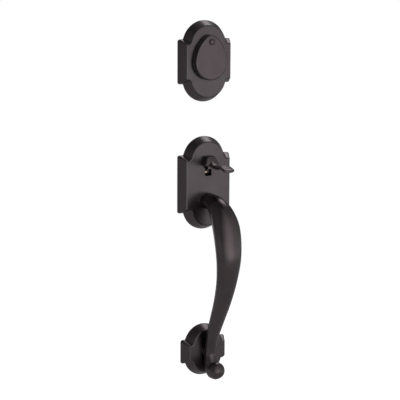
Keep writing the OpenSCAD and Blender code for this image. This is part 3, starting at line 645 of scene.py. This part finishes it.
def screw_blanks(name, places, profile, sides=40):
    """Screws turned round Y through a profile of radius and Y, before their recess is cut."""
    blanks = bmesh.new()
    for x, z in places:
        rings = []
        for radius, y in profile:
            turns = [2 * math.pi * k / sides for k in range(sides if radius else 1)]
            rings.append([blanks.verts.new(round_y(x, y, z, radius, turn)) for turn in turns])
        for a, b in zip(rings[:-1], rings[1:]):
            for k in range(sides):
                corners = [a[k % len(a)], a[(k + 1) % len(a)], b[(k + 1) % len(b)], b[k % len(b)]]
                unique = [v for i, v in enumerate(corners) if v not in corners[:i]]
                if len(unique) > 2:
                    blanks.faces.new(unique)
    bmesh.ops.recalc_face_normals(blanks, faces=blanks.faces)
    return object_from(blanks, name)


BLADE_FACES = ((0, 1, 2, 3), (7, 6, 5, 4), (0, 4, 5, 1), (1, 5, 6, 2), (2, 6, 7, 3), (3, 7, 4, 0))


def cross_cutters(name, places, face_y):
    """Two crossed, tapering blades over each screw, which leave the recess for the driver."""
    cutters = bmesh.new()
    ends = ((face_y + CUTTER_CLEAR, RECESS_R, RECESS_HALF),
            (face_y - RECESS_DEPTH, RECESS_R_DEEP, RECESS_HALF_DEEP))
    for index, (x, z) in enumerate(places):
        tightened = math.radians(FIRST_SCREW_TURN + SCREW_TURN_STEP * index)
        for quarter in (0.0, math.pi / 2):
            c, s = math.cos(tightened + quarter), math.sin(tightened + quarter)
            corners = []
            for y, reach, half in ends:
                for side_u, side_v in ((-1, -1), (1, -1), (1, 1), (-1, 1)):
                    u, v = side_u * reach, side_v * half
                    corners.append(cutters.verts.new(Vector((x + u * c - v * s, y, z + u * s + v * c)) * MM))
            for face in BLADE_FACES:
                cutters.faces.new([corners[i] for i in face])
    bmesh.ops.recalc_face_normals(cutters, faces=cutters.faces)
    return object_from(cutters, name + "_recess")


def cross_head_screws(name, node, half_x, half_z, middle_z, seat_y):
    """Four countersunk screws with a cross recess, facing the door."""
    places = [(sx * half_x, middle_z + sz * half_z) for sx in (-1, 1) for sz in (-1, 1)]
    face_y, end_y = seat_y + SHEET_T, seat_y - SCREW_REACH
    profile = [(0.0, face_y), (SCREW_FACE_R, face_y), (SCREW_HEAD_R, face_y - SCREW_RIM),
               (SCREW_R, seat_y), (SCREW_R, end_y + SCREW_TIP), (SCREW_R - SCREW_TIP, end_y), (0.0, end_y)]
    joined = join_solids(screw_blanks(name, places, profile), cross_cutters(name, places, face_y),
                         "DIFFERENCE", use_self=True)
    piece = new_piece(name, "trim", "screw", "steel_screws", *joined, smooth_angle=30.0)
    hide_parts(node)


def thread_ridge(name, x, z, start_y, bore_r, depth, pitch, per_turn=28):
    """One helical ridge on the wall of a bore along Y, fading out at both ends."""
    count = int((THREAD_END_Y - start_y) / pitch * per_turn)
    fade_length = per_turn * 0.6
    # Half widths of the ridge's foot and top, and how far the foot is sunk into the wall
    half_foot, half_top, sunk = 0.44 * pitch, 0.12 * pitch, 0.04
    rings = []
    for i in range(count + 1):
        turn = 2 * math.pi * i / per_turn
        crest = depth * min(1.0, i / fade_length, (count - i) / fade_length)
        y = start_y + pitch * i / per_turn
        profile = ((-half_foot, -sunk), (-half_top, crest), (half_top, crest), (half_foot, -sunk))
        rings.append([round_y(x, y + along, z, bore_r - height, turn) for along, height in profile])
    points, faces = rings_to_mesh(rings)
    new_piece(name, "trim", "turned steel", "zinc_steel", points, faces, smooth_angle=20.0)


def post_threads():
    for name, x, z in (("handle_post_thread_low", 0.0, -BOLT_SPACING),
                       ("handle_post_thread_high", 0.0, BOLT_SPACING),
                       ("deadbolt_post_thread_left", -BOLT_SPACING, DEADBOLT_Z),
                       ("deadbolt_post_thread_right", BOLT_SPACING, DEADBOLT_Z)):
        thread_ridge(name, x, z, **POST_THREAD)
    thread_ridge("foot_stud_thread", 0.0, ROSETTE_Z, **STUD_THREAD)


thumb_spoon()
return_spring()
pin_springs()
post_threads()
cross_head_screws("deadbolt_cross_screws", "deadbolt_screws", DEADBOLT_SCREW_X, DEADBOLT_SCREW_Z,
                  DEADBOLT_Z, DEADBOLT_SCREW_SEAT)
cross_head_screws("handle_cross_screws", "handle_screws", HANDLE_SCREW_X, HANDLE_SCREW_Z,
                  HANDLE_Z, HANDLE_SCREW_SEAT)


# Studio: white for the camera. The metal sees a bright front and back, a softer right, a dim left
# and a lit patch above and behind.

# Light round the object, by degrees from the street, positive to the right
LIGHT_AROUND = (
    (-180, 1.0), (-164, 0.75), (-150, 0.24), (-125, 0.18), (-95, 0.32), (-75, 0.3), (-55, 0.22),
    (-26, 0.9), (-6, 1.45), (16, 1.35), (33, 0.86), (62, 0.72), (88, 0.46), (112, 0.2), (142, 0.2),
    (160, 0.7), (179, 1.0))
# Light by degrees above the horizon
LIGHT_UP = (
    (-90, 0.15), (-60, 0.26), (-38, 0.44), (-23, 0.36), (-15.5, 0.4), (-10.5, 1.3), (-7, 1.3), (-1, 0.64),
    (24, 0.56), (46, 0.38), (66, 0.24), (90, 0.16))
LEAST_LIGHT = 0.04
PATCH_DIRECTION = Vector((0.517, 0.404, 0.755)).normalized()
PATCH_START, PATCH_FULL, PATCH_LIGHT = 0.965, 0.99, 2.4

# The floor, in metres, and what it adds to its own shade for the camera and in mirrors
FLOOR_Z = -0.5
FLOOR_RADII = (0.4, 0.9, 1.6)
FLOOR_GREY = (0.7, 0.7, 0.7)
FLOOR_ROUGHNESS = 0.9
FLOOR_GLOW, FLOOR_MIRRORED_GLOW = 0.85, 0.1

# The camera, fitted to the outlines in the photograph: angles in degrees, its aim, lens and sensor in
# millimetres, and its distance and sidestep in metres
CAMERA_YAW, CAMERA_PITCH, CAMERA_ROLL = 30.66, 10.0, 0.27
CAMERA_AIM = (-5.149, 0.0, -39.231)
CAMERA_LENS, CAMERA_SENSOR = 131.34, 36.0
CAMERA_DISTANCE, CAMERA_SIDESTEP = 1.88156, 0.0009


def light_curve(tree, value, pairs):
    """A smooth curve through pairs of position and level, as a ramp."""
    ramp = tree.add("ShaderNodeValToRGB")
    ramp.color_ramp.interpolation = "EASE"
    elements = ramp.color_ramp.elements
    while len(elements) < len(pairs):
        elements.new(0.5)
    for element, (position, level) in zip(elements, pairs):
        element.position = position
        element.color = (level, level, level, 1.0)
    tree.link(value, ramp.inputs[0])
    return ramp.outputs[0]


def studio_light(tree):
    """Strength of the studio by direction."""
    direction = tree.add("ShaderNodeTexCoord").outputs["Generated"]
    x, y, z = tree.axes(direction)
    angle = tree.math("ARCTAN2", x, tree.math("MULTIPLY", y, -1.0))
    turn = tree.math("MULTIPLY_ADD", angle, 1 / (2 * math.pi), 0.5)
    around = light_curve(tree, turn, [((degrees + 180) / 360, level) for degrees, level in LIGHT_AROUND])
    height = tree.math("MULTIPLY_ADD", tree.math("ARCSINE", z), 1 / math.pi, 0.5)
    up = light_curve(tree, height, [((degrees + 90) / 180, level) for degrees, level in LIGHT_UP])
    aligned = tree.dot(direction)
    aligned.inputs[1].default_value = PATCH_DIRECTION
    patch = tree.map_range(aligned.outputs["Value"], PATCH_START, PATCH_FULL)
    round_light = tree.math("MULTIPLY_ADD", around, up, LEAST_LIGHT)
    return tree.math("MULTIPLY_ADD", patch, PATCH_LIGHT, round_light)


def studio_world():
    world = bpy.data.worlds.new("studio")
    bpy.context.scene.world = world
    world.use_nodes = True
    world.node_tree.nodes.clear()
    tree = Tree(world.node_tree)
    out = tree.add("ShaderNodeOutputWorld")
    studio = tree.add("ShaderNodeBackground")
    tree.link(studio_light(tree), studio.inputs["Strength"])
    studio.inputs["Color"].default_value = (1, 1, 1, 1)
    white = tree.add("ShaderNodeBackground")
    white.inputs["Strength"].default_value = 1.0
    white.inputs["Color"].default_value = (1, 1, 1, 1)
    mixed = tree.add("ShaderNodeMixShader")
    tree.link(tree.add("ShaderNodeLightPath").outputs["Is Camera Ray"], mixed.inputs[0])
    tree.link(studio.outputs[0], mixed.inputs[1])
    tree.link(white.outputs[0], mixed.inputs[2])
    tree.link(mixed.outputs[0], out.inputs[0])


def photo_camera():
    yaw, pitch, roll = (math.radians(angle) for angle in (CAMERA_YAW, CAMERA_PITCH, CAMERA_ROLL))
    ahead = Vector((math.sin(yaw) * math.cos(pitch), math.cos(yaw) * math.cos(pitch), -math.sin(pitch)))
    right = Vector((math.cos(yaw), -math.sin(yaw), 0.0))
    up = right.cross(ahead)
    side = right * math.cos(roll) + up * math.sin(roll)
    top = up * math.cos(roll) - right * math.sin(roll)
    data = bpy.data.cameras.new("photo camera")
    data.lens = CAMERA_LENS
    data.sensor_width = CAMERA_SENSOR
    camera = linked_object("photo_camera", data)
    spot = Vector(CAMERA_AIM) * MM - ahead * CAMERA_DISTANCE + right * CAMERA_SIDESTEP
    turn = Matrix((side, top, -ahead)).transposed()
    camera.matrix_world = Matrix.Translation(spot) @ turn.to_4x4()
    bpy.context.scene.camera = camera


def floor(sides=48):
    """White studio floor well below the rosette; it stays white for the camera and keeps the shadow."""
    turns = [2 * math.pi * k / sides for k in range(sides)]
    rings = [[(r * math.cos(turn), r * math.sin(turn), FLOOR_Z) for turn in turns] for r in FLOOR_RADII]
    points, faces = rings_to_mesh(rings, closed_ends=False)
    faces.append(tuple(range(sides)))
    mesh = bpy.data.meshes.new("studio_floor")
    mesh.from_pydata(points, [], faces)
    material, tree, shader = new_material("studio floor", FLOOR_GREY)
    shader.inputs["Base Color"].default_value = (*FLOOR_GREY, 1.0)
    shader.inputs["Roughness"].default_value = FLOOR_ROUGHNESS
    shader.inputs["Emission Color"].default_value = (1, 1, 1, 1)
    path = tree.add("ShaderNodeLightPath")
    mirrored = tree.math("MAXIMUM", path.outputs["Is Glossy Ray"], path.outputs["Is Transmission Ray"])
    in_mirrors = tree.math("MULTIPLY", mirrored, FLOOR_MIRRORED_GLOW)
    glow = tree.math("MULTIPLY_ADD", path.outputs["Is Camera Ray"], FLOOR_GLOW, in_mirrors)
    tree.link(glow, shader.inputs["Emission Strength"])
    mesh.materials.append(material)
    linked_object("studio_floor", mesh)


studio_world()
photo_camera()
floor()
bpy.context.scene.view_settings.view_transform = "Standard"
